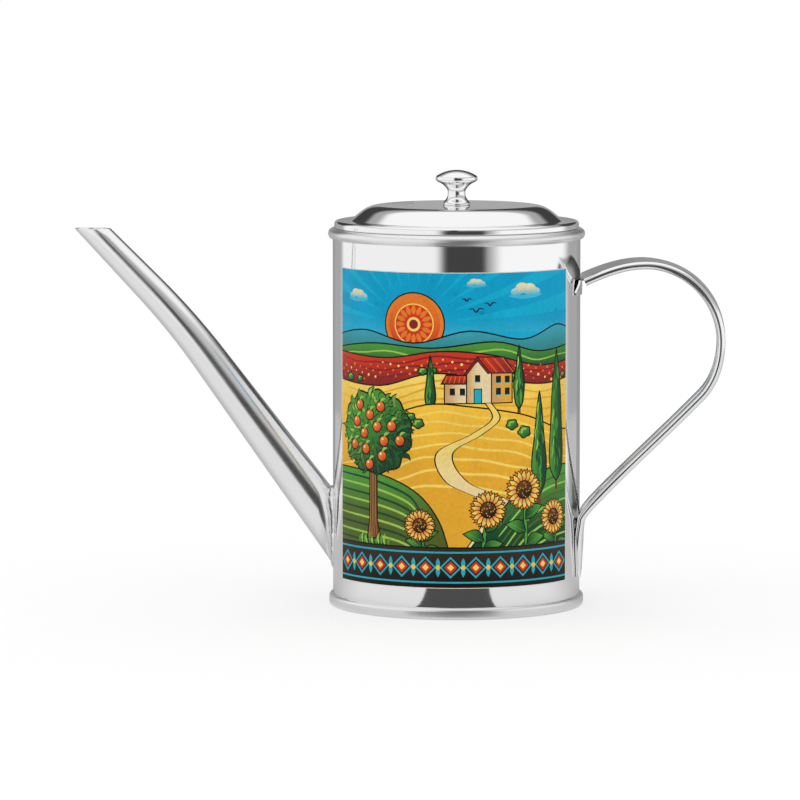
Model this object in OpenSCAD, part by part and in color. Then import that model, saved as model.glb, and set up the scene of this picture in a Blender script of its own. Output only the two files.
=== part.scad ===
// Olive oil tin with a side spout, a strap handle and a lift-off lid, in millimetres.
// It stands on z = 0 around the Z axis. The spout points along -X, the handle along +X
// and the label faces -Y.

/* [Tin body] */
// Outer diameter of the body wall
body_d = 80; // [72:1:90]
// Height of the middle of the mouth bead above the table
mouth_z = 120.35; // [116:0.05:140]
// Thickness of the tin sheet
sheet_t = 0.5; // [0.3:0.05:0.55]

/* [Bottom] */
// Height of the folded bottom seam
seam_h = 3.8; // [2.6:0.1:6]
// How far the bottom seam stands out from the wall
seam_out = 1.2; // [0.9:0.1:1.6]
// Height of the bottom panel's underside above the table
panel_lift = 2.4; // [1.6:0.1:4]
// Radius of the bend round the bottom panel
panel_bend_r = 1; // [0.7:0.1:1.4]
// Radius of the bend round the foot
foot_bend_r = 0.9; // [0.7:0.05:0.9]

/* [Mouth] */
// Diameter of the rolled bead round the mouth in section
bead_d = 3.5; // [2.8:0.1:4]

/* [Spout] */
// Height at which the spout's middle line meets the wall
spout_root_z = 25; // [20:0.5:32]
// Outer diameter of the spout at the wall
spout_root_d = 14.6; // [12:0.1:16]
// Outer diameter of the spout at its cut tip
spout_tip_d = 8.4; // [6:0.1:10]
// Slope of the lower straight part from the horizontal, in degrees
spout_low_angle = 53.5; // [50:0.5:58]
// Slope of the upper straight part from the horizontal, in degrees
spout_top_angle = 45.9; // [42:0.1:49]
// Length of the lower straight part, from the wall to the bend
spout_low_len = 67.4; // [55:0.1:75]
// Radius of the gentle bend between the two straight parts
spout_bend_r = 230; // [120:5:260]
// Height of the level cut at the tip
spout_tip_z = 121.5; // [118:0.5:135]
// Thickness of the spout's sheet
spout_t = 0.5; // [0.3:0.05:0.8]
// Width of the solder round the spout's root, on the wall and on the spout
solder_leg = 2.2; // [1.2:0.1:3]
// How far the solder bulges out
solder_bulge = 0.35; // [0.1:0.05:0.5]

/* [Handle] */
// Width of the strap
handle_w = 15; // [12:0.5:18]
// Thickness of the strap's sheet
handle_t = 0.6; // [0.4:0.05:0.8]
// Diameter of the rolled edges of the strap
curl_d = 2.8; // [2:0.1:3.2]
// How far the rolled edges lie below the strap's flat face
curl_step = 0.04; // [0.02:0.01:0.1]
// How far round each edge of the strap is rolled, in degrees
curl_turn = 255; // [225:5:255]
// Height of the highest point of the strap
handle_top_z = 112.3; // [106:0.1:114]
// How far the strap stands out from the wall
handle_reach = 46.8; // [42:0.1:50]
// Radius of the big outer bow
bow_r = 26.3; // [22:0.1:28]
// Radius of the upper arm's curve
upper_arm_r = 50; // [44:1:60]
// Slope of the straight lower arm from the horizontal, in degrees
lower_arm_angle = 45.7; // [42:0.1:50]
// Radius of the bend into the lower tab
lower_bend_r = 5; // [3:0.5:8]
// Height of the lower tab's end above the table
lower_tab_z = 10; // [7:0.5:14]
// Width of the lower tab
lower_tab_w = 18; // [16:0.5:20]
// Diameter of the pressed edges of the lower tab
tab_edge_d = 1.2; // [1:0.1:1.4]
// Length of the upper tab below the arm
upper_tab_len = 7; // [6:0.5:10]
// Width of the upper tab
upper_tab_w = 24; // [20:0.5:26]
// Length over which each tab widens
tab_flare = 3.5; // [2:0.5:5]
// How far from the wall the rolled edges end
curl_stop = 1.6; // [1:0.1:3]

/* [Lid] */
// Diameter of the lid's rolled rim in section
lid_rim_d = 2.1; // [1.6:0.1:2.4]
// How far the middle of the lid's rim lies inside the middle of the mouth bead
lid_inset = 1.3; // [0.8:0.1:1.8]
// How far round the lid's edge is rolled below its straight side, in degrees
lid_rim_turn = 200; // [190:5:210]
// Height of the straight side of the lid's edge
lid_side_h = 1; // [0.2:0.1:2]
// Radius of the bend between the lid's flange and its side
lid_corner_r = 0.6; // [0.6:0.1:1]
// Gap between the lid's rim and the mouth bead it rests on
lid_seat_gap = 0.08; // [0.05:0.01:0.2]
// Width of the flat flange, from the lid's edge to the foot of the dome
flange_w = 4.7; // [3.6:0.05:9]
// Height of the flat top above the flange
dome_h = 4.95; // [3.5:0.05:7]
// Slope of the dome's straight side from the horizontal, in degrees
cone_angle = 39; // [34:1:48]
// Radius of the dome's rounded shoulder
shoulder_r = 10; // [5:0.5:11]
// Radius of the hollow curve between the dome and the flange
fillet_r = 1.2; // [0.8:0.1:2]
// Height of the skirt inside the mouth
skirt_h = 9; // [6:0.5:14]
// Width of the skirt's flange under the lid
skirt_flange_w = 1.6; // [1.2:0.1:2]
// Gap between the skirt and the lid's rolled rim
skirt_gap = 0.2; // [0.1:0.05:0.4]
// Room between the skirt and the mouth
skirt_room = 0.5; // [0.3:0.05:0.8]

/* [Knob] */
// Diameter of the knob's cap
cap_d = 13.4; // [11:0.1:16]
// Thickness of the cap's rounded edge
cap_edge_t = 2.2; // [1.6:0.1:2.6]
// Height of the cap's domed top above its edge
cap_dome_h = 1.6; // [1:0.1:2.4]
// Slope of the cap's underside from the horizontal, in degrees
cap_under_angle = 35; // [25:1:45]
// Diameter of the knob's waist
waist_d = 5.3; // [4.8:0.1:6]
// Radius of the hollow curve of the waist
waist_curve_r = 3.2; // [2.8:0.1:3.6]
// Diameter of the knob's foot
foot_d = 8.5; // [7.6:0.1:10]
// Thickness of the foot's edge
foot_edge_t = 1; // [0.6:0.1:1.4]

/* [Knob screw] */
// Diameter of the screw
screw_d = 3; // [2.5:0.1:3]
// Length of the screw's shank above its head
screw_len = 7; // [5:0.5:9]
// Diameter of the screw's head
screw_head_d = 5.6; // [4.8:0.1:6.4]
// Height of the screw's head
screw_head_h = 2; // [1.4:0.1:2.4]
// Width of the slot in the screw's head
slot_w = 0.8; // [0.5:0.1:1]
// Depth of the slot in the screw's head
slot_depth = 0.9; // [0.5:0.1:1.2]
// Outer diameter of the washer
washer_d = 8; // [6.6:0.1:10]
// Thickness of the washer
washer_t = 0.5; // [0.4:0.1:1]
// Room round the screw in the lid and in the washer
screw_room = 0.15; // [0.1:0.05:0.3]
// Room round the screw in the knob
thread_room = 0.03; // [0.01:0.01:0.05]
// Depth of the knob's bore past the screw's end
bore_spare = 1; // [0.5:0.5:2]

/* [Label] */
// Width of the label along the wall
label_w = 88.4; // [60:0.1:90]
// Height of the label
label_h = 100.5; // [80:0.5:104]
// Height of the label's lower edge above the table
label_z = 10; // [8:0.5:13]
// Thickness of the label
label_t = 0.12; // [0.08:0.01:0.2]
// Thickness of the glue under the label
glue_t = 0.03; // [0.02:0.01:0.05]

/* [Hidden] */
$fn = 96;
big = 400;

body_r = body_d / 2;
inner_r = body_r - sheet_t;

// The mouth bead is a split ring that closes over the top edge of the wall.
bead_r = bead_d / 2;
bead_mid_r = body_r - sheet_t / 2;
wall_top_z = mouth_z + sqrt(pow(bead_r - sheet_t, 2) - pow(sheet_t / 2, 2));

// The lid's rim nests on the inner slope of the mouth bead, one seat gap away from it.
rim_r = lid_rim_d / 2;
rim_mid_r = bead_mid_r - lid_inset;
rim_mid_z = mouth_z + sqrt(pow(bead_r + rim_r + lid_seat_gap, 2) - pow(bead_mid_r - rim_mid_r, 2));
lid_r = rim_mid_r + rim_r;
corner_z = rim_mid_z + lid_side_h;
flange_z = corner_z + lid_corner_r;

// The lid's dome: a flat top, a rounded shoulder, a straight slope and a hollow curve.
top_z = flange_z + dome_h;
slope_h = dome_h - (shoulder_r + fillet_r) * (1 - cos(cone_angle));
dome_foot_r = lid_r - flange_w;
plateau_r = dome_foot_r - (shoulder_r + fillet_r) * sin(cone_angle) - slope_h / tan(cone_angle);
skirt_r = min(rim_mid_r - rim_r - skirt_gap, bead_mid_r - bead_r - skirt_room);

// The knob stands on the flat top of the lid, and its screw comes up through the lid.
foot_top_z = top_z + foot_edge_t;
waist_mid_r = waist_d / 2 + waist_curve_r;
waist_z = foot_top_z + sqrt(pow(waist_curve_r, 2) - pow(foot_d / 2 - waist_mid_r, 2));
cap_under_z = waist_z + waist_curve_r * cos(cap_under_angle);
cap_under_r = waist_mid_r - waist_curve_r * sin(cap_under_angle);
cap_mid_r = (cap_d - cap_edge_t) / 2;
cap_low_z = cap_under_z + (cap_mid_r - cap_under_r) * tan(cap_under_angle);
cap_dome_r = (pow(cap_mid_r, 2) + pow(cap_dome_h, 2)) / (2 * cap_dome_h);
lid_under_z = top_z - sheet_t;
head_top_z = lid_under_z - washer_t;
screw_hole_r = screw_d / 2 + screw_room;

// The spout's middle line: a straight part, a bend and a second straight part. Its diameter
// falls evenly along that line.
function spout_dir(a) = [-cos(a), 0, sin(a)];
function spout_side(a) = [sin(a), 0, cos(a)];
spout_root = [-body_r, 0, spout_root_z];
bend_start = spout_root + spout_low_len * spout_dir(spout_low_angle);
bend_mid = bend_start - spout_bend_r * spout_side(spout_low_angle);
bend_turn = spout_low_angle - spout_top_angle;
bend_len = spout_bend_r * bend_turn * PI / 180;
bend_end = bend_mid + spout_bend_r * spout_side(spout_top_angle);
spout_top_len = (spout_tip_z - bend_end[2]) / sin(spout_top_angle);
spout_tip = bend_end + spout_top_len * spout_dir(spout_top_angle);
spout_len = spout_low_len + bend_len + spout_top_len;
spout_taper = (spout_root_d - spout_tip_d) / 2 / spout_len;
bend_steps = 6;
spout_sides = 40;
function spout_r(s) = spout_root_d / 2 - spout_taper * s;
function around_spout(a, t) = cos(t) * spout_side(a) + sin(t) * [0, 1, 0];

// Point on the line where the spout, drawn in by `in`, meets the wall, `up` along the spout.
function root_len(t, r) =
    (r * cos(t) * sin(spout_low_angle) + sqrt(pow(body_r, 2) - pow(r * sin(t), 2)) - body_r)
    / cos(spout_low_angle);
function root_point(t, in = 0, up = 0) =
    let (r = spout_r(root_len(t, spout_r(0) - in)) - in, s = root_len(t, r) + up)
    spout_root + s * spout_dir(spout_low_angle)
    + (r - spout_taper * up) * around_spout(spout_low_angle, t);

// Point on the level cut at the tip.
function tip_point(t, in) =
    let (a = spout_top_angle, r = spout_tip_d / 2 - in,
         s = -r * cos(t) * cos(a) / (sin(a) - spout_taper * cos(t) * cos(a)))
    spout_tip + s * spout_dir(a) + (r - spout_taper * s) * around_spout(a, t);

// Rings of the spout's outside or bore, from the wall to the tip.
function bend_ring(i, in) =
    let (a = spout_low_angle - bend_turn * i / bend_steps,
         r = spout_r(spout_low_len + bend_len * i / bend_steps) - in)
    [for (k = [1 : spout_sides]) bend_mid + spout_bend_r * spout_side(a)
                                 + r * around_spout(a, 360 * k / spout_sides)];
function spout_rings(in) = concat(
    [[for (k = [1 : spout_sides]) root_point(360 * k / spout_sides, in)]],
    [for (i = [0 : bend_steps]) bend_ring(i, in)],
    [[for (k = [1 : spout_sides]) tip_point(360 * k / spout_sides, in)]]);
function reversed(list) = [for (i = [len(list) - 1 : -1 : 0]) list[i]];

// Section of the solder bead: it lies on the wall and on the spout and bulges between them.
function unit(v) = v / norm(v);
function on_wall(p) = [p[0], p[1], 0] * (body_r / norm([p[0], p[1]])) + [0, 0, p[2]];
function solder_ring(t) =
    let (corner = root_point(t), out = unit([corner[0], corner[1], 0]),
         along = root_point(t + 1) - root_point(t - 1),
         low = on_wall(corner + solder_leg * unit(cross(along, out))),
         high = root_point(t, up = solder_leg),
         bulge_dir = unit(out + around_spout(spout_low_angle, t)))
    [corner, low, for (f = [0.25, 0.5, 0.75])
        low + (high - low) * f + solder_bulge * sin(180 * f) * bulge_dir, high];

// The strap's outer face runs over the upper arm, round the bow and down the lower arm.
bow_mid = [body_r + handle_reach - bow_r, handle_top_z - bow_r];
upper_mid = [bow_mid[0], handle_top_z - upper_arm_r];
plate_edge_y = (handle_w - curl_d) / 2;
lower_turn = 90 - lower_arm_angle;
// The upper arm runs this far into the wall before it is cut along it.
wall_bite = 2;
upper_turn = asin((bow_mid[0] - body_r + wall_bite) / (upper_arm_r - curl_d));
upper_foot_z = upper_mid[1] + sqrt(pow(upper_arm_r, 2) - pow(bow_mid[0] - body_r, 2));
tab_face_x = body_r + handle_t;
lower_arm_len = (bow_mid[0] + bow_r * sin(lower_arm_angle)
                 - tab_face_x - lower_bend_r * (1 - sin(lower_arm_angle))) / cos(lower_arm_angle);
lower_bend_mid = [tab_face_x + lower_bend_r,
                  bow_mid[1] - bow_r * cos(lower_arm_angle)
                  - lower_arm_len * sin(lower_arm_angle) - lower_bend_r * cos(lower_arm_angle)];

label_turn = label_w / body_r * 180 / PI;

// How far neighbouring pieces of one sheet run into each other, so that they join up.
lap = 0.2;
lap_turn = 2;
// The lid's straight slope is this much thinner on each face than the curves it runs into.
slope_step = 0.01;

// A bent piece of sheet: its outer radius is r and it runs from angle a0 to a1.
module sheet_arc(r, t, a0, a1) {
    steps = 6;
    intersection() {
        difference() {
            circle(r);
            circle(r - t);
        }
        polygon(concat([[0, 0]],
            [for (i = [0 : steps]) let (a = a0 + (a1 - a0) * i / steps) 2 * r * [cos(a), sin(a)]]));
    }
}

// A ring-shaped skin: each loop of points joins on to the next and the last to the first.
module closed_skin(loops) {
    n = len(loops[0]);
    m = len(loops);
    polyhedron(points = [for (loop = loops, p = loop) p],
               faces = [for (i = [0 : m - 1], k = [0 : n - 1], half = [0, 1])
                   let (a = i * n + k, b = i * n + (k + 1) % n,
                        c = (i + 1) % m * n + (k + 1) % n, d = (i + 1) % m * n + k)
                   half == 0 ? [a, b, c] : [a, c, d]]);
}

module round_the_body(r) {
    translate([0, 0, -big / 2]) cylinder(r = r, h = big);
}

module body_shell() {
    color("silver") difference() {
        translate([0, 0, sheet_t]) cylinder(r = body_r, h = wall_top_z - sheet_t);
        cylinder(r = inner_r, h = big);
        // The hole under the spout's root, as wide as the spout's bore
        translate(spout_root) rotate([0, spout_low_angle - 90, 0])
            translate([0, 0, -spout_root_d])
                cylinder(r1 = spout_r(-spout_root_d) - spout_t,
                         r2 = spout_r(spout_root_d) - spout_t, h = 2 * spout_root_d);
    }
}

module base_pan() {
    foot_r = body_r + seam_out;
    inside_r = inner_r - sheet_t;
    color("gainsboro") rotate_extrude() {
        // Panel, its bend and the wall down to the foot
        square_between(0, inner_r - panel_bend_r, panel_lift, panel_lift + sheet_t);
        translate([inner_r - panel_bend_r, panel_lift + sheet_t - panel_bend_r])
            sheet_arc(panel_bend_r, sheet_t, 0, 90);
        square_between(inside_r, inner_r, 0, panel_lift + sheet_t - panel_bend_r);
        // Flat foot and the fold that closes on the wall
        square_between(inside_r, foot_r - foot_bend_r, 0, sheet_t);
        translate([foot_r - foot_bend_r, foot_bend_r]) sheet_arc(foot_bend_r, sheet_t, -90, 0);
        square_between(foot_r - sheet_t, foot_r, foot_bend_r, seam_h - seam_out);
        translate([body_r, seam_h - seam_out]) sheet_arc(seam_out, sheet_t, 0, 90);
    }
}

module square_between(x0, x1, y0, y1) {
    translate([x0, y0]) square([x1 - x0, y1 - y0]);
}

module mouth_ring() {
    color("whitesmoke") rotate_extrude() difference() {
        translate([bead_mid_r, mouth_z]) circle(bead_r);
        translate([bead_mid_r, mouth_z]) circle(bead_r - sheet_t);
        square_between(inner_r, body_r, 0, mouth_z);
    }
}

module spout_tube() {
    color("lightgray") closed_skin(concat(spout_rings(spout_t), reversed(spout_rings(0))));
}

module spout_solder() {
    color("darkgray") closed_skin([for (k = [1 : spout_sides]) solder_ring(360 * k / spout_sides)]);
}

// Section of the strap: its outer face is at x = 0 and its edges roll towards -x.
module strap_plate() {
    square_between(-handle_t, 0, -plate_edge_y - lap, plate_edge_y + lap);
}

module strap_curls() {
    for (side = [0, 1])
        mirror([0, side])
            translate([-curl_d / 2 - curl_step, plate_edge_y])
                sheet_arc(curl_d / 2, handle_t, 0, curl_turn);
}

// Turns its children from their own XY plane into the plane of the handle.
module handle_plane(mid, turn) {
    translate([mid[0], 0, mid[1]]) rotate([90, 0, 0]) rotate([0, 0, turn]) children();
}

module strap_arc(mid, r, from, to) {
    handle_plane(mid, from) rotate_extrude(angle = to - from) translate([r, 0]) children();
}

// A tab that lies on the wall and widens from w0 at z0 to w1 at z1, down to z2.
module wall_tab(z0, z1, z2, w0, w1) {
    intersection() {
        difference() {
            round_the_body(tab_face_x);
            round_the_body(body_r);
        }
        rotate([90, 0, 90])
            linear_extrude(big)
                polygon([[-w0 / 2, z0], [-w1 / 2, z1], [-w1 / 2, z2],
                         [w1 / 2, z2], [w1 / 2, z1], [w0 / 2, z0]]);
    }
}

// Sweeps a section of the strap over the upper arm, the bow and the lower arm.
module along_strap() {
    strap_arc(upper_mid, upper_arm_r, 90, 90 + upper_turn) children();
    strap_arc(bow_mid, bow_r, -lower_turn, 90) children();
    from_the_bow() rotate([90, 0, 0]) linear_extrude(lower_arm_len) children();
}

// The lower arm starts here and runs along -y, with its outer face at x = 0.
module from_the_bow() {
    handle_plane(bow_mid, -lower_turn) translate([bow_r, 0, 0]) children();
}

// The bend below the lower arm, where the strap is pressed flat.
module lower_bend() {
    from_the_bow() translate([lower_bend_r, -lower_arm_len, 0]) rotate([0, 0, 180])
        rotate_extrude(angle = lower_turn) translate([lower_bend_r, -handle_w / 2])
            square([handle_t, handle_w]);
}

module handle_strap() {
    color("silver") {
        difference() {
            along_strap() strap_plate();
            round_the_body(body_r);
        }
        difference() {
            along_strap() strap_curls();
            round_the_body(body_r + curl_stop);
        }
        lower_bend();
        // The tabs lie on the wall.
        wall_tab(upper_foot_z, upper_foot_z - tab_flare, upper_foot_z - upper_tab_len,
                 handle_w, upper_tab_w);
        wall_tab(lower_bend_mid[1] + handle_t, lower_bend_mid[1] - tab_flare, lower_tab_z,
                 handle_w, lower_tab_w);
        for (side = [-1, 1]) pressed_edge(side * (lower_tab_w - tab_edge_d) / 2);
    }
}

// The edge of the lower tab is rolled tight and lies on the wall.
module pressed_edge(y) {
    mid_r = body_r + tab_edge_d / 2;
    translate([sqrt(mid_r * mid_r - y * y), y, lower_tab_z])
        cylinder(d = tab_edge_d, h = lower_bend_mid[1] - tab_flare - lower_tab_z);
}

module label() {
    color("goldenrod")
        rotate([0, 0, -90 - label_turn / 2])
            rotate_extrude(angle = label_turn)
                square_between(body_r + glue_t, body_r + glue_t + label_t,
                               label_z, label_z + label_h);
}

module lid_shell() {
    color("gainsboro") rotate_extrude() {
        // Flat top, shoulder and straight slope
        square_between(screw_hole_r, plateau_r, top_z - sheet_t, top_z);
        translate([plateau_r, top_z - shoulder_r]) {
            sheet_arc(shoulder_r, sheet_t, 90 - cone_angle, 90);
            rotate(90 - cone_angle)
                square_between(shoulder_r - sheet_t + slope_step, shoulder_r - slope_step,
                               -slope_h / sin(cone_angle) - lap / 2, lap / 2);
        }
        // Hollow curve and flange
        translate([dome_foot_r, flange_z + fillet_r])
            sheet_arc(fillet_r + sheet_t, sheet_t, 270 - cone_angle, 270);
        square_between(dome_foot_r - lap, lid_r - lid_corner_r, flange_z - sheet_t, flange_z);
        // Corner, straight side and rolled edge
        translate([lid_r - lid_corner_r, corner_z])
            sheet_arc(lid_corner_r, sheet_t, -lap_turn, 90 + lap_turn);
        square_between(lid_r - sheet_t, lid_r, rim_mid_z, corner_z);
        translate([rim_mid_r, rim_mid_z]) sheet_arc(rim_r, sheet_t, -lid_rim_turn, lap_turn);
    }
}

module lid_skirt() {
    skirt_top_z = flange_z - sheet_t;
    color("lightgray") rotate_extrude() {
        square_between(skirt_r - skirt_flange_w, skirt_r, skirt_top_z - sheet_t, skirt_top_z);
        square_between(skirt_r - sheet_t, skirt_r, skirt_top_z - skirt_h, skirt_top_z);
    }
}

module lid_knob() {
    color("white") rotate_extrude() difference() {
        union() {
            // Foot and waist
            difference() {
                square_between(0, foot_d / 2, top_z, cap_under_z);
                translate([waist_mid_r, waist_z]) circle(waist_curve_r);
            }
            // Sloping underside, rounded edge and domed top of the cap
            polygon([[0, cap_under_z - lap], [cap_under_r - 2 * lap, cap_under_z - lap],
                     [cap_under_r, cap_under_z], [cap_mid_r, cap_low_z],
                     [cap_mid_r, cap_low_z + lap], [0, cap_low_z + lap]]);
            translate([cap_mid_r, cap_low_z + cap_edge_t / 2]) circle(cap_edge_t / 2);
            intersection() {
                translate([0, cap_low_z + cap_edge_t + cap_dome_h - cap_dome_r]) circle(cap_dome_r);
                square_between(0, cap_mid_r, cap_low_z, big);
            }
        }
        square_between(0, screw_d / 2 + thread_room, 0, head_top_z + screw_len + bore_spare);
    }
}

module knob_screw() {
    color("dimgray") difference() {
        union() {
            translate([0, 0, head_top_z - screw_head_h]) cylinder(d = screw_head_d, h = screw_head_h);
            translate([0, 0, head_top_z]) cylinder(d = screw_d, h = screw_len);
        }
        translate([-big / 2, -slot_w / 2, head_top_z - screw_head_h]) cube([big, slot_w, slot_depth]);
    }
}

module knob_washer() {
    color("gray") translate([0, 0, head_top_z]) difference() {
        cylinder(d = washer_d, h = washer_t);
        cylinder(r = screw_hole_r, h = washer_t);
    }
}

body_shell();
base_pan();
mouth_ring();
spout_tube();
spout_solder();
handle_strap();
label();
lid_shell();
lid_skirt();
lid_knob();
knob_screw();
knob_washer();
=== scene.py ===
"""Olive oil tin: camera, studio, materials and the pieces that replace plain CAD nodes."""
import math
import random

import bmesh
import bpy
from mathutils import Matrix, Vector, noise
from mathutils.geometry import delaunay_2d_cdt


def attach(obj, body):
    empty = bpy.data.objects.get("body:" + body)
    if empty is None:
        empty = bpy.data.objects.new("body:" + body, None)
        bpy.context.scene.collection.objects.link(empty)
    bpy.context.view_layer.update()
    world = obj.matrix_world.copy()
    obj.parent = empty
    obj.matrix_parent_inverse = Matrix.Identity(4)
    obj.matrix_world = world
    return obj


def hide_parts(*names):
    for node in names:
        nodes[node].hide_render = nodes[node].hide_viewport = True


MM = 0.001
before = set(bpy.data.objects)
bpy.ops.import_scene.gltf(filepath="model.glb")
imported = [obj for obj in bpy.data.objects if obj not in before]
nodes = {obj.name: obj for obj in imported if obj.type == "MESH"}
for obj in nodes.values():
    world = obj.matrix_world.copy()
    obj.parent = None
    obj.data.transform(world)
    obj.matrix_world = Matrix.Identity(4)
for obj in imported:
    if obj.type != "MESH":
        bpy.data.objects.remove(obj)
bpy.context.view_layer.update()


# Helpers
def mesh_object(name, points, faces, material, smooth=True):
    """A mesh from points in millimetres."""
    mesh = bpy.data.meshes.new(name)
    mesh.from_pydata([tuple(c * MM for c in p) for p in points], [], faces)
    mesh.polygons.foreach_set("use_smooth", [smooth] * len(mesh.polygons))
    mesh.materials.append(material)
    mesh.update()
    obj = bpy.data.objects.new(name, mesh)
    bpy.context.scene.collection.objects.link(obj)
    return obj


def grid_faces(rows, columns, around=True, closed=False):
    """Quads that join `rows` loops of `columns` points."""
    faces = []
    for i in range(rows if closed else rows - 1):
        for k in range(columns if around else columns - 1):
            a, b = i * columns + k, i * columns + (k + 1) % columns
            n = (i + 1) % rows
            faces.append((a, b, n * columns + (k + 1) % columns, n * columns + k))
    return faces


def turn_outwards(obj):
    """Lets the faces of a closed piece look outwards."""
    shape = bmesh.new()
    shape.from_mesh(obj.data)
    bmesh.ops.recalc_face_normals(shape, faces=shape.faces)
    shape.to_mesh(obj.data)
    shape.free()


def smoothstep(x):
    x = min(1.0, max(0.0, x))
    return x * x * (3 - 2 * x)


class Shader:
    """Adds nodes to a material or a world and links them."""

    def __init__(self, tree):
        self.tree = tree
        tree.nodes.clear()

    def add(self, kind, inputs=(), **settings):
        node = self.tree.nodes.new("ShaderNode" + kind)
        for key, value in settings.items():
            setattr(node, key, value)
        for key, value in dict(inputs).items():
            if isinstance(value, bpy.types.NodeSocket):
                self.tree.links.new(value, node.inputs[key])
            else:
                node.inputs[key].default_value = value
        return node


def new_material(name):
    mat = bpy.data.materials.new(name)
    mat.use_nodes = True
    return mat, Shader(mat.node_tree)


# Camera
CAMERA_ELEVATION, CAMERA_TURN = 5.7, 3.2
CAMERA_DISTANCE, CAMERA_HEIGHT, CAMERA_SIDE = 1684.2, 66.175, 18.27


def add_camera():
    turn, up = math.radians(CAMERA_TURN), math.radians(CAMERA_ELEVATION)
    right = Vector((math.cos(turn), math.sin(turn), 0))
    back = Vector((math.sin(turn) * math.cos(up), -math.cos(turn) * math.cos(up), math.sin(up)))
    target = Vector((0, 0, CAMERA_HEIGHT)) - right * CAMERA_SIDE
    data = bpy.data.cameras.new("camera")
    data.sensor_width, data.lens = 36, 234
    data.clip_start, data.clip_end = 0.05, 50
    camera = bpy.data.objects.new("camera", data)
    bpy.context.scene.collection.objects.link(camera)
    camera.location = (target + back * CAMERA_DISTANCE) * MM
    camera.rotation_mode = "QUATERNION"
    camera.rotation_quaternion = (-back).to_track_quat("-Z", "Y")
    bpy.context.scene.camera = camera


# Studio
# Each panel of the light tent: its azimuths and elevations in degrees, its level and how
# softly its sides and its top and bottom fade. Azimuth 0 is towards the camera's side and
# 90 towards the handle. Later panels lie over earlier ones.
TENT_RADIUS = 620
TENT_BASE = 0.40
TENT = [
    (-127, -13, -5, 44, 0.93, 9, 8),
    (38, 122, -5, 26, 1.00, 16, 8),
    (25, 112, 26, 50, 0.55, 14, 6),
    (-9, 29, -5, 26, 0.055, 7, 6),
    (-5, 4, 20, 60, 0.055, 3, 6),
    (128, 232, 21, 41, 0.05, 8, 5),
    (-180, 540, 51, 90, 1.00, 1, 7),
]


def tent_level(azimuth, elevation):
    level = TENT_BASE
    for left, right, low, high, value, soft_side, soft_edge in TENT:
        side = (azimuth - left) % 360 if right - left < 360 else 180
        width = right - left if right - left < 360 else 360
        inside = min(side, width - side) if side <= width + (360 - width) / 2 else side - 360
        mask = smoothstep(inside / soft_side + 0.5) if width < 360 else 1
        mask *= smoothstep((elevation - low) / soft_edge + 0.5)
        mask *= smoothstep((high - elevation) / soft_edge + 0.5) if high < 90 else 1
        level += (value - level) * mask
    return level


def glow_material(name):
    """A plain glow whose strength is painted on the mesh."""
    mat, sh = new_material(name)
    level = sh.add("Attribute", attribute_name="level")
    glow = sh.add("Emission", {"Color": (1, 1, 1, 1), "Strength": level.outputs["Fac"]})
    sh.add("OutputMaterial", {"Surface": glow.outputs[0]})
    mat.cycles.emission_sampling = "NONE"
    return mat


def only_reflected(obj):
    """A studio card that only metal shows. The even light on the object comes from the world."""
    obj.visible_camera = obj.visible_shadow = False
    obj.visible_transmission = obj.visible_diffuse = False


def set_levels(obj, levels):
    attribute = obj.data.attributes.new("level", "FLOAT", "POINT")
    attribute.data.foreach_set("value", levels)


def add_tent(glow):
    step, points, levels = 2.5, [], []
    elevations = [-1 + 91 * i / 45 for i in range(46)]
    columns = int(360 / step)
    for elevation in elevations:
        e = math.radians(elevation)
        for k in range(columns):
            a = math.radians(k * step)
            points.append((TENT_RADIUS * math.sin(a) * math.cos(e),
                           -TENT_RADIUS * math.cos(a) * math.cos(e), TENT_RADIUS * math.sin(e)))
            levels.append(tent_level(k * step, elevation))
    tent = mesh_object("light_tent", points, grid_faces(len(elevations), columns), glow)
    set_levels(tent, levels)
    only_reflected(tent)


def add_card(name, corners, levels, glow):
    card = mesh_object(name, corners, [tuple(range(len(corners)))], glow, smooth=False)
    set_levels(card, levels)
    only_reflected(card)


# The floor's paper and what it glows with for the camera and for metal
WORLD_LEVEL = 1.25
FLOOR_TONE, CAMERA_FILL, METAL_FILL = 0.35, 0.57, 0.42

# Darker floor that metal shows: a strip in front, and the ground behind the tin
RUNNER = [(-22.5, -46), (25.5, -46), (35.5, -67), (69, -133), (340, -600), (-96, -600),
          (-50, -142), (-28, -70)]
RUNNER_LEVEL = 0.075


def add_floor():
    mat, sh = new_material("floor")
    ray = sh.add("LightPath")
    seen = sh.add("Math", {0: ray.outputs["Is Camera Ray"], 1: ray.outputs["Is Transmission Ray"]},
                  operation="MAXIMUM")
    fill = sh.add("Math", {0: seen.outputs[0], 1: CAMERA_FILL}, operation="MULTIPLY")
    metal = sh.add("Math", {0: ray.outputs["Is Glossy Ray"], 1: METAL_FILL}, operation="MULTIPLY")
    fill = sh.add("Math", {0: fill.outputs[0], 1: metal.outputs[0]}, operation="ADD")
    paper = sh.add("BsdfDiffuse", {"Color": (FLOOR_TONE,) * 3 + (1,)})
    glow = sh.add("Emission", {"Color": (1, 1, 1, 1), "Strength": fill.outputs[0]})
    both = sh.add("AddShader", {0: paper.outputs[0], 1: glow.outputs[0]})
    sh.add("OutputMaterial", {"Surface": both.outputs[0]})
    size = 30000
    floor = mesh_object("floor", [(-size, -size, 0), (size, -size, 0), (size, size, 0),
                                  (-size, size, 0)], [(0, 1, 2, 3)], mat, smooth=False)


def add_world():
    world = bpy.data.worlds.new("studio")
    bpy.context.scene.world = world
    world.use_nodes = True
    sh = Shader(world.node_tree)
    glow = sh.add("Background", {"Color": (1, 1, 1, 1), "Strength": WORLD_LEVEL})
    sh.add("OutputWorld", {"Surface": glow.outputs[0]})


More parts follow.
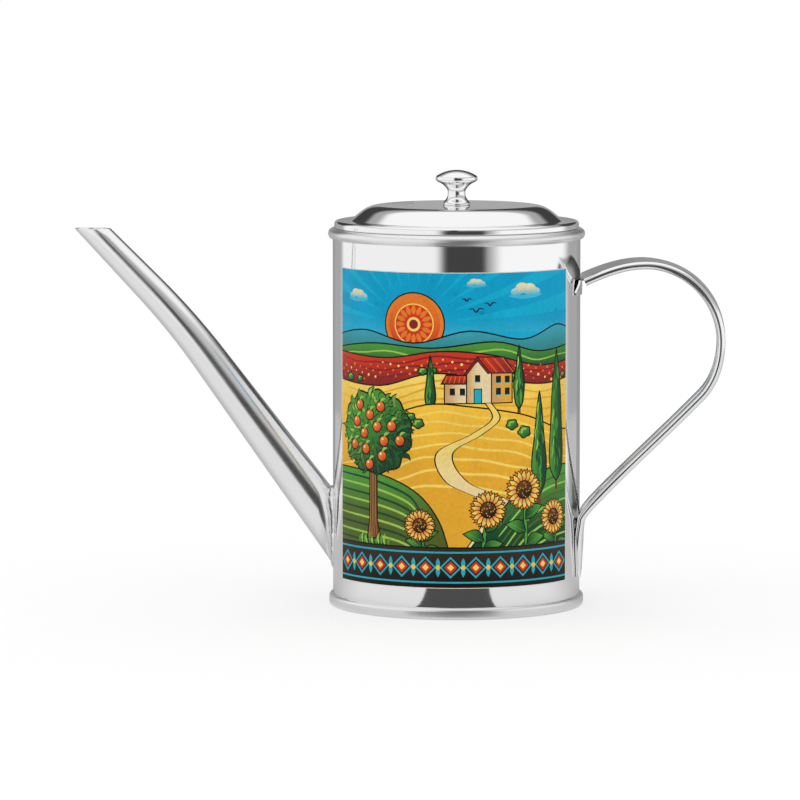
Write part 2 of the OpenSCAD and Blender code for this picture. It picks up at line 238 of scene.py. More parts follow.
def ground_level_with_painted_shadow(azimuth, radius):
    """The level of the floor behind and beside the tin, as metal shows it: darker behind the tin, and falling off
    towards the tin as a painted contact shadow.
    """
    behind = min(azimuth, 360 - azimuth)
    level = 0.8 - 0.27 * smoothstep((behind - 70) / 50)
    # Painted contact shadow: the level drops by up to 28 % close to the tin
    return level * (0.72 + 0.28 * smoothstep((radius - 42) / 40))


def add_ground(glow):
    columns = 144
    radii = [43, 46, 50, 55, 62, 72, 90, 130, 200, 330, 615]
    points, levels = [], []
    for radius in radii:
        for k in range(columns):
            a = 2 * math.pi * k / columns
            points.append((radius * math.sin(a), -radius * math.cos(a), 0.2))
            levels.append(ground_level_with_painted_shadow(math.degrees(a), radius))
    ground = mesh_object("ground", points, grid_faces(len(radii), columns), glow)
    set_levels(ground, levels)
    only_reflected(ground)


def add_studio():
    glow = glow_material("glow")
    add_world()
    add_floor()
    add_tent(glow)
    add_ground(glow)
    add_card("runner", [(x, y, 0.3) for x, y in RUNNER], [RUNNER_LEVEL] * len(RUNNER), glow)
    # Grey flags behind that draw the tin's edges
    for side in (-1, 1):
        near, far = math.radians(140), math.radians(172)
        base = [(side * 160 * math.sin(a), -160 * math.cos(a)) for a in (near, far)]
        add_card("flag_left" if side < 0 else "flag_right",
                 [(*base[0], 0), (*base[1], 0), (*base[1], 138), (*base[0], 138)],
                 [0.34, 0.3, 0.3, 0.34], glow)


# Materials
def steel(name, tone, roughness):
    mat, sh = new_material(name)
    where = sh.add("TexCoord")
    stretched = sh.add("Mapping", {"Vector": where.outputs["Object"], "Scale": (60, 60, 2600)})
    lines = sh.add("TexNoise", {"Vector": stretched.outputs[0], "Scale": 1.0, "Detail": 3.0})
    cloud = sh.add("TexNoise", {"Vector": where.outputs["Object"], "Scale": 55.0, "Detail": 4.0})
    rough = sh.add("MapRange", {"Value": cloud.outputs["Fac"], "From Min": 0.3, "From Max": 0.7,
                                "To Min": roughness * 0.8, "To Max": roughness * 1.25})
    bump = sh.add("Bump", {"Height": lines.outputs["Fac"], "Strength": 0.02,
                           "Distance": 0.0002})
    surface = sh.add("BsdfPrincipled", {
        "Base Color": (tone, tone, tone * 1.005, 1), "Metallic": 1.0,
        "Roughness": rough.outputs[0], "Normal": bump.outputs[0]})
    sh.add("OutputMaterial", {"Surface": surface.outputs[0]})
    return mat


def printed(name):
    """Printed film: the ink painted on the mesh, a little uneven, under a thin matt varnish."""
    mat, sh = new_material(name)
    painted = sh.add("Attribute", attribute_name="ink")
    where = sh.add("TexCoord")
    grain = sh.add("TexNoise", {"Vector": where.outputs["Object"], "Scale": 900.0, "Detail": 3.0})
    wash = sh.add("TexNoise", {"Vector": where.outputs["Object"], "Scale": 120.0, "Detail": 4.0})
    both = sh.add("Math", {0: grain.outputs["Fac"], 1: wash.outputs["Fac"]}, operation="ADD")
    tone = sh.add("MapRange", {"Value": both.outputs[0], "From Min": 0.6, "From Max": 1.4,
                               "To Min": 0.86, "To Max": 1.1})
    colour = sh.add("VectorMath", {0: painted.outputs["Color"], "Scale": tone.outputs[0]},
                    operation="SCALE")
    surface = sh.add("BsdfPrincipled", {"Base Color": colour.outputs[0], "Roughness": 0.38,
                                        "Specular IOR Level": 0.12})
    sh.add("OutputMaterial", {"Surface": surface.outputs[0]})
    return mat


def plain(name, colour, roughness):
    mat, sh = new_material(name)
    surface = sh.add("BsdfPrincipled", {"Base Color": (*colour, 1), "Roughness": roughness})
    sh.add("OutputMaterial", {"Surface": surface.outputs[0]})
    return mat


def dress(node, mat):
    mesh = nodes[node].data
    for slot in range(len(mesh.materials)):
        mesh.materials[slot] = mat


# Spout: a smooth skin over the same middle line as the CAD's faceted one
BODY_R = 40
SPOUT_ROOT = Vector((-BODY_R, 0, 25))
ROOT_R, TIP_R, SPOUT_SHEET, TIP_Z = 7.3, 4.2, 0.5, 121.5
LOW_ANGLE, TOP_ANGLE = math.radians(53.5), math.radians(45.9)
LOW_LENGTH, SPOUT_BEND_R = 67.4, 230


def along_spout(angle):
    return Vector((-math.cos(angle), 0, math.sin(angle)))


def beside_spout(angle, t):
    """From the middle line outwards. At t = 0 this points to the upper side of the spout."""
    upper = Vector((math.sin(angle), 0, math.cos(angle)))
    return math.cos(t) * upper + Vector((0, math.sin(t), 0))


BEND_START = SPOUT_ROOT + LOW_LENGTH * along_spout(LOW_ANGLE)
BEND_MIDDLE = BEND_START - SPOUT_BEND_R * beside_spout(LOW_ANGLE, 0)
BEND_END = BEND_MIDDLE + SPOUT_BEND_R * beside_spout(TOP_ANGLE, 0)
SPOUT_BEND_LENGTH = SPOUT_BEND_R * (LOW_ANGLE - TOP_ANGLE)
TOP_LENGTH = (TIP_Z - BEND_END.z) / math.sin(TOP_ANGLE)
SPOUT_TIP = BEND_END + TOP_LENGTH * along_spout(TOP_ANGLE)
SPOUT_TAPER = (ROOT_R - TIP_R) / (LOW_LENGTH + SPOUT_BEND_LENGTH + TOP_LENGTH)


def root_length(t, radius):
    """How far along the spout a generator line at t leaves the wall."""
    inside = math.sqrt(BODY_R ** 2 - (radius * math.sin(t)) ** 2)
    return (radius * math.cos(t) * math.sin(LOW_ANGLE) + inside - BODY_R) / math.cos(LOW_ANGLE)


def root_point(t, inward=0.0, up=0.0):
    radius = ROOT_R - SPOUT_TAPER * root_length(t, ROOT_R - inward) - inward
    s = root_length(t, radius) + up
    return (SPOUT_ROOT + s * along_spout(LOW_ANGLE)
            + (radius - SPOUT_TAPER * up) * beside_spout(LOW_ANGLE, t))


def tip_point(t, inward=0.0, below=0.0):
    """Point on the level cut at the tip, or that far below it along the spout."""
    radius, rise = TIP_R - inward, math.cos(t) * math.cos(TOP_ANGLE)
    s = -radius * rise / (math.sin(TOP_ANGLE) - SPOUT_TAPER * rise) - below
    return (SPOUT_TIP + s * along_spout(TOP_ANGLE)
            + (radius - SPOUT_TAPER * s) * beside_spout(TOP_ANGLE, t))


def spout_line(t, inward, below):
    """Points from the wall to the tip."""
    straight, bend = 8, 14
    turned = []
    for i in range(bend + 1):
        angle = LOW_ANGLE - (LOW_ANGLE - TOP_ANGLE) * i / bend
        radius = ROOT_R - SPOUT_TAPER * (LOW_LENGTH + SPOUT_BEND_LENGTH * i / bend) - inward
        turned.append(BEND_MIDDLE + SPOUT_BEND_R * beside_spout(angle, 0)
                      + radius * beside_spout(angle, t))
    root, tip = root_point(t, inward), tip_point(t, inward, below)
    low = [root.lerp(turned[0], i / straight) for i in range(straight)]
    top = [turned[-1].lerp(tip, i / straight) for i in range(1, straight + 1)]
    return low + turned + top


def add_spout(material):
    around, rim_steps = 96, 6
    lines = []
    for k in range(around):
        t = 2 * math.pi * k / around
        half = SPOUT_SHEET / 2
        rim = []
        for i in range(1, rim_steps):
            turn = math.pi * i / rim_steps
            rim.append(tip_point(t, half - half * math.cos(turn), half * (1 - math.sin(turn))))
        lines.append(spout_line(t, 0, half) + rim + spout_line(t, SPOUT_SHEET, half)[::-1])
    points = [lines[k][i] for i in range(len(lines[0])) for k in range(around)]
    faces = grid_faces(len(lines[0]), around, closed=True)
    spout = mesh_object("spout_skin", points, faces, material)
    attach(spout, "tin")
    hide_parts("spout_tube")


# Solder round the spout's root: a thin uneven bead with a lump at the upper front side
SOLDER_LEG, SOLDER_BULGE = 1.3, 0.16
LUMP_TURN, LUMP_WIDTH, LUMP_SIZE = -0.75, 0.4, 0.7


def add_solder(material):
    around, across = 160, 9
    points = []
    for k in range(around):
        t = 2 * math.pi * k / around
        corner = root_point(t)
        out = Vector((corner.x, corner.y, 0)).normalized()
        along = root_point(t + 0.02) - root_point(t - 0.02)
        wavy = noise.noise(Vector((3.1 * math.cos(t), 3.1 * math.sin(t), 4.0)))
        fine = noise.noise(Vector((9 * math.cos(t), 9 * math.sin(t), 1.7)))
        lump = LUMP_SIZE * math.exp(-(((t + math.pi) % (2 * math.pi) - math.pi - LUMP_TURN)
                                      / LUMP_WIDTH) ** 2)
        leg = SOLDER_LEG * (0.85 + 0.25 * wavy + 0.1 * fine) + lump
        low = corner + leg * along.cross(out).normalized()
        low = Vector((low.x, low.y, 0)).normalized() * (BODY_R + 0.02) + Vector((0, 0, low.z))
        high = root_point(t, inward=-0.02, up=leg * (1.0 + 0.25 * fine))
        bulge = (out + beside_spout(LOW_ANGLE, t)).normalized()
        size = SOLDER_BULGE * (0.7 + 0.9 * abs(wavy) + 0.5 * fine) + 0.3 * lump
        for i in range(across):
            f = i / (across - 1)
            points.append(low.lerp(high, f) + size * math.sin(math.pi * f) * bulge)
        points.append(corner)
    faces = grid_faces(around, across + 1, around=True, closed=True)
    solder = mesh_object("solder_bead", points, faces, material)
    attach(solder, "tin")
    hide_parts("spout_solder")


# Handle: one sheet swept from the upper tab over the arms to the lower tab. Its edges are
# rolled under along the arms. Towards the upper tab the rolls open, so the strap gets wider
# and lies a little lower and turned. At the lower end they are pressed thinner on the wall.
STRAP_SHEET, CURL_D, UPPER_CURL_D, CURL_TURN = 0.6, 2.8, 2.55, math.radians(255)
HALF_W, ROOT_HALF_W, LOW_HALF_W = 7.2, 9, 10
UPPER_MID, UPPER_ARM_R = (60.5, 62.3), 50
BOW_MID, BOW_R = (60.5, 86.0), 26.3
ARM_TURN = math.radians(-44.3)
ARM_BULGE, BULGE_LENGTH = 0.8, 45
LOWER_MID, LOWER_BEND_R = (56.6, 21.4), 16
ROOT_SINK, ROOT_ROLL = 1.3, math.radians(3.2)
ROOT_BEND_R, ROOT_WRAP = 0.9, 0.3
UPPER_TAB_Z, UPPER_TAB_W, UPPER_FLARE, TAB_CORNER = 100.9, 25, 4.5, 1.5
LOWER_TAB_Z, LOWER_TAB_W = 10, 19.6
BEND_CURL_D, END_CURL_D = 2.3, 1.6
ROOT_REACH = UPPER_ARM_R - ROOT_SINK - ROOT_BEND_R
ROOT_X = BODY_R + ROOT_BEND_R - UPPER_MID[0]
ROOT_TURN = math.acos(ROOT_X / ROOT_REACH)
ROOT_Z = UPPER_MID[1] + ROOT_REACH * math.sin(ROOT_TURN)
CURL_START = ROOT_TURN - math.radians(0.6)


def spread(first, last, steps):
    """Evenly spaced values from the first up to, but not with, the last."""
    return [first + (last - first) * i / steps for i in range(steps)]


def share(value, first, last):
    return smoothstep((value - first) / (last - first))


def opening(a):
    """How far the rolls have opened on the upper arm at this angle, from 0 to 1."""
    return min(1, max(0, (a - math.radians(50)) / (ROOT_TURN - math.radians(50)))) ** 2


def arm_station(mid, radius, a):
    sink = ROOT_SINK * (0.15 * share(a, math.radians(45), math.radians(90))
                        + 0.85 * share(a, math.radians(90), ROOT_TURN))
    sink -= ARM_BULGE * share(-a, 0, -ARM_TURN)
    width = HALF_W + (ROOT_HALF_W - HALF_W) * opening(a)
    curl = CURL_D - (CURL_D - UPPER_CURL_D) * share(a, math.radians(45), math.radians(90))
    roll = ROOT_ROLL * share(a, math.radians(75), ROOT_TURN)
    return (mid[0] + (radius - sink) * math.cos(a), mid[1] + (radius - sink) * math.sin(a), a,
            width, curl, 0, roll)


def upper_stations():
    """Stations of the strap's outer face from the upper tab's end to the rolled edges. Each
    is x, z, the way the face looks, half the width, the roll's diameter, how far the strap
    follows the wall, and its turn about its own length."""
    stations = []
    for z in spread(UPPER_TAB_Z, UPPER_TAB_Z + TAB_CORNER, 4) + spread(
            UPPER_TAB_Z + TAB_CORNER, ROOT_Z, 14):
        corner = max(0, 1 - (z - UPPER_TAB_Z) / TAB_CORNER)
        flare = min(1, (ROOT_Z - z) / UPPER_FLARE)
        width = ROOT_HALF_W + (UPPER_TAB_W / 2 - ROOT_HALF_W) * flare
        width -= TAB_CORNER * (1 - math.sqrt(1 - corner ** 2))
        stations.append((BODY_R, z, math.pi, width, CURL_D,
                         ROOT_WRAP + (1 - ROOT_WRAP) * smoothstep(flare), 0))
    for a in spread(math.pi, ROOT_TURN, 10):
        done = (math.pi - a) / (math.pi - ROOT_TURN)
        stations.append((BODY_R + ROOT_BEND_R + ROOT_BEND_R * math.cos(a),
                         ROOT_Z + ROOT_BEND_R * math.sin(a), a, ROOT_HALF_W, CURL_D,
                         ROOT_WRAP * (1 - smoothstep(done)), ROOT_ROLL * smoothstep(done)))
    for a in spread(ROOT_TURN, CURL_START, 2):
        stations.append(arm_station(UPPER_MID, UPPER_ARM_R, a))
    return stations


def curled_stations():
    """Stations from there over the arms to the lower tab's end."""
    stations = [arm_station(UPPER_MID, UPPER_ARM_R, a)
                for a in spread(CURL_START, math.pi / 2, 24)]
    stations += [arm_station(BOW_MID, BOW_R, a) for a in spread(math.pi / 2, ARM_TURN, 72)]
    start = Vector((math.cos(ARM_TURN), math.sin(ARM_TURN)))
    out, end = start.copy(), Vector(LOWER_MID) - LOWER_BEND_R * start
    start = Vector(BOW_MID) + BOW_R * start
    length = (end - start).length
    line = []
    for s in spread(0, length - 18, 16) + spread(length - 18, length, 24):
        here = start.lerp(end, s / length) + out * ARM_BULGE * (1 - smoothstep(s / BULGE_LENGTH))
        line.append((here.x, here.y, ARM_TURN, s - length))
    for a in spread(ARM_TURN, 0, 14):
        line.append((LOWER_MID[0] - LOWER_BEND_R * math.cos(a),
                     LOWER_MID[1] - LOWER_BEND_R * math.sin(a), a, LOWER_BEND_R * (a - ARM_TURN)))
    bend = -LOWER_BEND_R * ARM_TURN
    tab = LOWER_MID[1] - LOWER_TAB_Z
    for t in spread(0, tab, 20) + [tab]:
        line.append((LOWER_MID[0] - LOWER_BEND_R, LOWER_MID[1] - t, 0, bend + t))
    for x, z, a, s in line:
        curl = CURL_D - (CURL_D - BEND_CURL_D) * share(s, -8, bend)
        curl -= (BEND_CURL_D - END_CURL_D) * share(s, bend, bend + tab)
        width = HALF_W + (LOW_HALF_W - HALF_W) * share(s, -18, bend)
        width += ((LOWER_TAB_W - END_CURL_D) / 2 - LOW_HALF_W) * share(s, bend, bend + tab)
        stations.append((x, z, a, width, curl, smoothstep(s / bend), 0))
    return stations


def strap_section(station):
    """Rows of points across the strap: its top, its underside, and each edge's roll outside
    and inside."""
    x, z, a, width, curl, wrap, roll = station
    steps, shelf = 24, 2.5
    sheet = min(STRAP_SHEET, 0.4 * curl)
    room = (x - BODY_R) / math.cos(a) if math.cos(a) > 0.1 else 99
    lift = max(0, curl - room)

    def place(n, y):
        n += y * math.tan(roll)
        flat = Vector((x + n * math.cos(a), y, z + n * math.sin(a)))
        turn = y / flat.x
        bent = Vector((flat.x * math.cos(turn), flat.x * math.sin(turn), flat.z))
        return flat.lerp(bent, wrap)

    inner = width - shelf
    across = [-width + shelf * k / 5 for k in range(5)] + spread(-inner, inner, 12)
    across += [inner + shelf * k / 5 for k in range(6)]
    top, under = [], []
    for y in across:
        near = smoothstep((abs(y) - inner) / shelf)
        top.append(place(lift * near, y))
        under.append(place(lift * near - STRAP_SHEET - (sheet - STRAP_SHEET) * near, y))
    rolls = []
    for side in (-1, 1):
        for radius in (curl / 2, curl / 2 - sheet):
            rolls.append([place(lift - curl / 2 + radius * math.cos(t),
                                side * (width + radius * math.sin(t)))
                          for t in (CURL_TURN * (k + 1) / steps for k in range(steps))])
    return top, under, rolls


def add_handle(material):
    points, faces = [], []

    def keep(row):
        points.extend(tuple(p) for p in row)
        return list(range(len(points) - len(row), len(points)))

    def strip(a, b):
        for k in range(len(a) - 1):
            faces.append((a[k], a[k + 1], b[k + 1], b[k]))

    flat, rolled = upper_stations(), curled_stations()
    rows = []
    for i, station in enumerate(flat + rolled):
        top, under, rolls = strap_section(station)
        top, under = keep(top), keep(under)
        sides = []
        for side, (outside, inside) in enumerate((rolls[:2], rolls[2:])):
            if i < len(flat):
                sides.append(([top[-side]], [under[-side]]))
            else:
                sides.append(([top[-side]] + keep(outside), [under[-side]] + keep(inside)))
        rows.append((top, under, sides))
    for i in range(len(rows) - 1):
        (top, under, sides), (next_top, next_under, next_sides) = rows[i], rows[i + 1]
        strip(top, next_top)
        strip(under, next_under)
        for (outside, inside), (next_outside, next_inside) in zip(sides, next_sides):
            strip(outside, next_outside[:len(outside)])
            strip(inside, next_inside[:len(inside)])
            faces.append((outside[-1], inside[-1], next_inside[len(inside) - 1],
                          next_outside[len(outside) - 1]))
    for end in (0, -1):
        strip(rows[end][0], rows[end][1])
    for row in (len(flat), -1):
        for outside, inside in rows[row][2]:
            strip(outside, inside)
    handle = mesh_object("handle_sheet", points, faces, material)
    turn_outwards(handle)
    handle.data.set_sharp_from_angle(angle=math.radians(40))
    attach(handle, "tin")
    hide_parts("handle_strap")


# Knob: turned and polished, so it has a finer profile than the CAD's. Each point is a radius
# and a height above the lid's flat top; the cap's dome is part of a sphere.
KNOB_Z, KNOB_H, DOME_R, DOME_EDGE_R = 129.47, 11.3, 12.0, 6.5
KNOB_SIDE = [(4.2, 0), (4.38, 0.15), (4.42, 0.45), (4.25, 0.85), (3.9, 1.3), (3.5, 1.8),
             (3.15, 2.4), (2.92, 3.1), (2.83, 3.9), (2.93, 4.7), (3.3, 5.4), (3.9, 6.1),
             (4.7, 6.75), (5.6, 7.25), (6.35, 7.65), (6.7, 8.05), (6.76, 8.6), (6.68, 9.1)]


def turned(name, outline, around, material):
    """A closed round piece from radii and heights, which start and end near the axis."""
    points = [(r * math.cos(2 * math.pi * k / around), r * math.sin(2 * math.pi * k / around), z)
              for r, z in outline for k in range(around)]
    last = around * (len(outline) - 1)
    faces = grid_faces(len(outline), around)
    faces += [tuple(range(around))[::-1], tuple(range(last, last + around))]
    piece = mesh_object(name, points, faces, material)
    turn_outwards(piece)
    return piece


def add_knob(material):
    dome = [(r, KNOB_H - DOME_R + math.sqrt(DOME_R ** 2 - r ** 2))
            for r in (DOME_EDGE_R * (1 - k / 24) for k in range(24))]
    outline = [(r, KNOB_Z + h) for r, h in curve(KNOB_SIDE + dome[:1], 6) + dome[1:]]
    knob = turned("knob_turned", outline, 96, material)
    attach(knob, "lid")
    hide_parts("lid_knob")


# Lid: the CAD's pressed sheet turned again with a finer profile, a softer edge and a tighter
# rolled rim, close above the mouth's bead
LID_TOP, PLATEAU_R, SHOULDER_R, CONE_ANGLE = 129.47, 24.72, 10, 39
FLANGE_Z, DOME_FOOT_R, FILLET_R = 124.52, 34.8, 1.2
LID_R, LID_SHEET, LID_CORNER_R, LID_RIM_R, LID_RIM_Z = 39.5, 0.5, 1.15, 0.36, 122.46


def bow(middle, radius, first, last, steps=10):
    """Points of an arc between two angles in degrees."""
    turns = [math.radians(first + (last - first) * k / steps) for k in range(steps + 1)]
    return [(middle[0] + radius * math.cos(t), middle[1] + radius * math.sin(t)) for t in turns]


def add_lid(material):
    shoulder, fillet = (PLATEAU_R, LID_TOP - SHOULDER_R), (DOME_FOOT_R, FLANGE_Z + FILLET_R)
    corner = (LID_R - LID_CORNER_R, FLANGE_Z - LID_CORNER_R)
    above, below = [], []
    for side, inward in ((above, 0), (below, LID_SHEET)):
        side.append((0.05, LID_TOP - inward))
        side.extend(bow(shoulder, SHOULDER_R - inward, 90, 90 - CONE_ANGLE, 16))
        side.extend(bow(fillet, FILLET_R + inward, 270 - CONE_ANGLE, 270))
        side.extend(bow(corner, LID_CORNER_R - inward, 90, 0))
    rim = bow((LID_R - LID_RIM_R, LID_RIM_Z), LID_RIM_R, 0, -180, 12)
    lid = turned("lid_pressed", above + rim + below[::-1], 256, material)
    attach(lid, "lid")
    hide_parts("lid_shell")


# Label: a printed landscape, drawn as flat shapes on a sheet that is then wrapped round the
# wall. u runs along the wall from the label's middle towards the handle, v runs upwards.
LABEL_W, LABEL_H, LABEL_LOW = 88.4, 100.5, 10
LABEL_BACK, LABEL_FACE = BODY_R + 0.03, BODY_R + 0.15


def ink(red, green, blue):
    """A printed colour from its values of 0 to 255."""
    return tuple(((c / 255 + 0.055) / 1.055) ** 2.4 for c in (red, green, blue))


SKY, SKY_PALE, SKY_RAY = ink(0, 164, 208), ink(70, 190, 218), ink(14, 178, 216)
GOLD, GOLD_PALE, GOLD_DEEP = ink(255, 202, 66), ink(255, 222, 108), ink(238, 176, 50)
RED, RED_DEEP, ORANGE = ink(216, 58, 36), ink(138, 40, 42), ink(240, 128, 44)
LEAF, LEAF_PALE, LEAF_DEEP = ink(84, 160, 62), ink(158, 204, 88), ink(26, 76, 46)
OLD_GREEN, TEAL = ink(88, 104, 44), ink(52, 128, 122)
NIGHT, LINE, BARK = ink(40, 34, 29), ink(26, 30, 24), ink(112, 70, 38)
TURQUOISE, CREAM, STONE = ink(42, 178, 198), ink(246, 226, 178), ink(214, 164, 104)


def fade(first, last, start, end):
    """Paint that turns from one ink into another between two points."""
    du, dv = end[0] - start[0], end[1] - start[1]
    span = du * du + dv * dv

    def paint(u, v):
        f = smoothstep(((u - start[0]) * du + (v - start[1]) * dv) / span)
        return tuple(a + (b - a) * f for a, b in zip(first, last))
    return paint


def disc(u, v, radius, tall=None, turn=0.0):
    tall = tall or radius
    sides = max(10, int(6 * (radius + tall)))
    points = []
    for k in range(sides):
        x, y = radius * math.cos(2 * math.pi * k / sides), tall * math.sin(2 * math.pi * k / sides)
        points.append((u + x * math.cos(turn) - y * math.sin(turn),
                       v + x * math.sin(turn) + y * math.cos(turn)))
    return points


def curve(points, steps=5, closed=False):
    """A smooth line through the points."""
    n = len(points)
    line = []
    for i in range(n if closed else n - 1):
        if closed:
            p = [Vector(points[(i + k) % n]) for k in (-1, 0, 1, 2)]
        else:
            p = [Vector(points[min(n - 1, max(0, i + k))]) for k in (-1, 0, 1, 2)]
        for s in range(steps):
            t = s / steps
            a = 2 * p[1] + (p[2] - p[0]) * t
            b = (2 * p[0] - 5 * p[1] + 4 * p[2] - p[3]) * t ** 2
            c = (3 * p[1] - 3 * p[2] + p[3] - p[0]) * t ** 3
            line.append(tuple((a + b + c) / 2))
    if not closed:
        line.append(points[-1])
    return line


def stroke(line, width, start=0.15, end=0.15):
    """Outline of a brush stroke that thins to these shares of its width at its two ends."""
    left, right = [], []
    n = len(line)
    for i, point in enumerate(line):
        a, b = Vector(line[max(0, i - 1)]), Vector(line[min(n - 1, i + 1)])
        ahead = (b - a).normalized()
        f = i / (n - 1)
        fat = math.sin(math.pi * f) ** 0.6
        thin = start * (1 - f) + end * f
        half = width / 2 * (thin + (1 - thin) * fat)
        side = Vector((-ahead.y, ahead.x)) * half
        left.append(tuple(Vector(point) + side))
        right.append(tuple(Vector(point) - side))
    return left + right[::-1]


def leaf(u, v, length, width, turn, bend=0.15):
    """A pointed leaf that starts at (u, v) and bends to one side."""
    left, right = [], []
    for i in range(7):
        f = i / 6
        middle = bend * length * math.sin(math.pi * f)
        half = width / 2 * math.sin(math.pi * f ** 0.8)
        for side, row in ((1, left), (-1, right)):
            x, y = length * f, middle + side * half
            row.append((u + x * math.cos(turn) - y * math.sin(turn),
                        v + x * math.sin(turn) + y * math.cos(turn)))
    return left + right[-2:0:-1]


def anticlockwise(outline):
    sides = zip(outline, outline[1:] + outline[:1])
    area = sum(a[0] * b[1] - b[0] * a[1] for a, b in sides)
    return outline if area > 0 else outline[::-1]


def grown(outline, by):
    """An anticlockwise outline moved outwards."""
    points = []
    for i, point in enumerate(outline):
        here = Vector(point)
        a = (here - Vector(outline[i - 1])).normalized()
        b = (Vector(outline[(i + 1) % len(outline)]) - here).normalized()
        out = Vector((a.y + b.y, -a.x - b.x)).normalized()
        points.append(tuple(here + out * by / max(0.5, out.x * a.y - out.y * a.x)))
    return points


class Artwork:
    """Flat shapes, each with its paint. Later shapes lie over earlier ones."""

    def __init__(self):
        self.shapes = []
        self.chance = random.Random(7)

    def add(self, outline, paint):
        self.shapes.append((anticlockwise(outline),
                            paint if callable(paint) else lambda u, v: paint))

    def outlined(self, outline, paint, width=0.45, line=LINE):
        """A shape with a dark line round it."""
        outline = anticlockwise(outline)
        self.add(grown(outline, width / 2), line)
        self.add(grown(outline, -width / 2), paint)

    def between(self, low, high):
        return self.chance.uniform(low, high)


LEFT, RIGHT = -LABEL_W / 2, LABEL_W / 2


def hill(art, crest, paint, rows=0, spacing=2.4, row_ink=GOLD_DEEP, edge=0.5, floor=0):
    """A hill under a smooth crest, with rows of a crop that follow it."""
    top = curve(crest, 6)
    art.add(top + [(RIGHT + 2, floor), (LEFT - 2, floor)], paint)
    for k in range(1, rows + 1):
        drop = spacing * k * (1 + 0.06 * k)
        wave = art.between(0, 6)
        line = [(u, v - drop + 0.35 * math.sin(u / 3.1 + wave)) for u, v in top]
        cut = int(art.between(0, 5))
        art.add(stroke(line[cut:len(line) - cut], 0.55 + 0.05 * k, 0.3, 0.3), row_ink)
    art.add(stroke(top, edge, 0.8, 0.8), LINE)


def sun(art, u, v, radius):
    for k in range(28):
        turn = 2 * math.pi * (k + 0.5) / 28
        half = math.pi / 28 * 0.5
        near, far = radius * 1.16, 96
        art.add([(u + near * math.cos(turn), v + near * math.sin(turn)),
                 (u + far * math.cos(turn - half), v + far * math.sin(turn - half)),
                 (u + far * math.cos(turn + half), v + far * math.sin(turn + half))], SKY_RAY)
    art.outlined(disc(u, v, radius), ORANGE)
    art.add(disc(u, v, radius * 0.86), fade(RED, ORANGE, (u, v - radius), (u, v + radius)))
    for share, paint in ((0.66, GOLD_PALE), (0.62, RED)):
        art.add(disc(u, v, radius * share), paint)
    for k in range(16):
        turn = 2 * math.pi * k / 16
        art.add(leaf(u + 3.0 * math.cos(turn), v + 3.0 * math.sin(turn), radius * 0.36, 1.5, turn, 0),
                ORANGE)
    art.add(disc(u, v, 2.3), GOLD_PALE)
    art.add(disc(u, v, 1.5), RED_DEEP)


def cloud(art, u, v, size):
    for shift, rise, radius in ((-1.5, 0, 0.8), (-0.6, 0.55, 1.0), (0.5, 0.35, 1.1), (1.6, 0, 0.75)):
        art.add(disc(u + shift * size, v + rise * size, radius * size, radius * size * 0.7),
                fade(SKY_PALE, CREAM, (u, v - size * 0.5), (u, v + size)))
    art.add(stroke(curve([(u - 2.6 * size, v - 0.45 * size), (u, v - 0.65 * size),
                          (u + 2.7 * size, v - 0.4 * size)]), 0.5 * size), SKY_PALE)


def cypress(art, u, foot, height, width):
    side = []
    for i in range(13):
        f = i / 12
        half = width / 2 * math.sin(math.pi * f ** 0.62) ** 0.8 * (1 - 0.25 * f)
        side.append((half * (1 + 0.1 * math.sin(9 * f + u)), foot + height * f))
    art.add(stroke([(u, foot - 3), (u, foot + 3)], 1.3, 0.9, 0.9), BARK)
    outline = curve([(u - x, y) for x, y in side] + [(u + x, y) for x, y in side[-2:0:-1]], 3, True)
    art.outlined(outline, fade(LEAF, LEAF_DEEP, (u - width * 0.5, 0), (u + width * 0.3, 0)), 0.5)
    for k in range(int(height * 0.8)):
        f = art.between(0.05, 0.8)
        x = art.between(-0.36, 0.36) * width * math.sin(math.pi * f ** 0.62)
        y, long = foot + height * f, art.between(2.5, 5)
        lean = art.between(-0.5, 0.5)
        paint = LEAF_PALE if x < -0.1 * width and k % 2 else (LEAF_DEEP if k % 3 else LEAF)
        art.add(stroke(curve([(u + x, y), (u + x * 0.9 + lean, y + long / 2), (u + x * 0.6, y + long)], 3),
                       art.between(0.35, 0.7)), paint)


def bush(art, u, v, size, light=LEAF, dark=LEAF_DEEP):
    edge = []
    lobes = art.between(0, 6)
    for k in range(18):
        a = 2 * math.pi * k / 18
        r = size * (1 + 0.12 * math.sin(5 * a + lobes))
        edge.append((u + r * math.cos(a), v + 0.8 * r * math.sin(a)))
    art.outlined(curve(edge, 2, True), fade(dark, light, (u + size, v - size), (u - size * 0.3, v + size)), 0.4)
    for k in range(4):
        a = 1.2 + k * 0.7
        art.add(disc(u + 0.45 * size * math.cos(a), v + 0.42 * size * math.sin(a), 0.17 * size), LEAF_PALE)


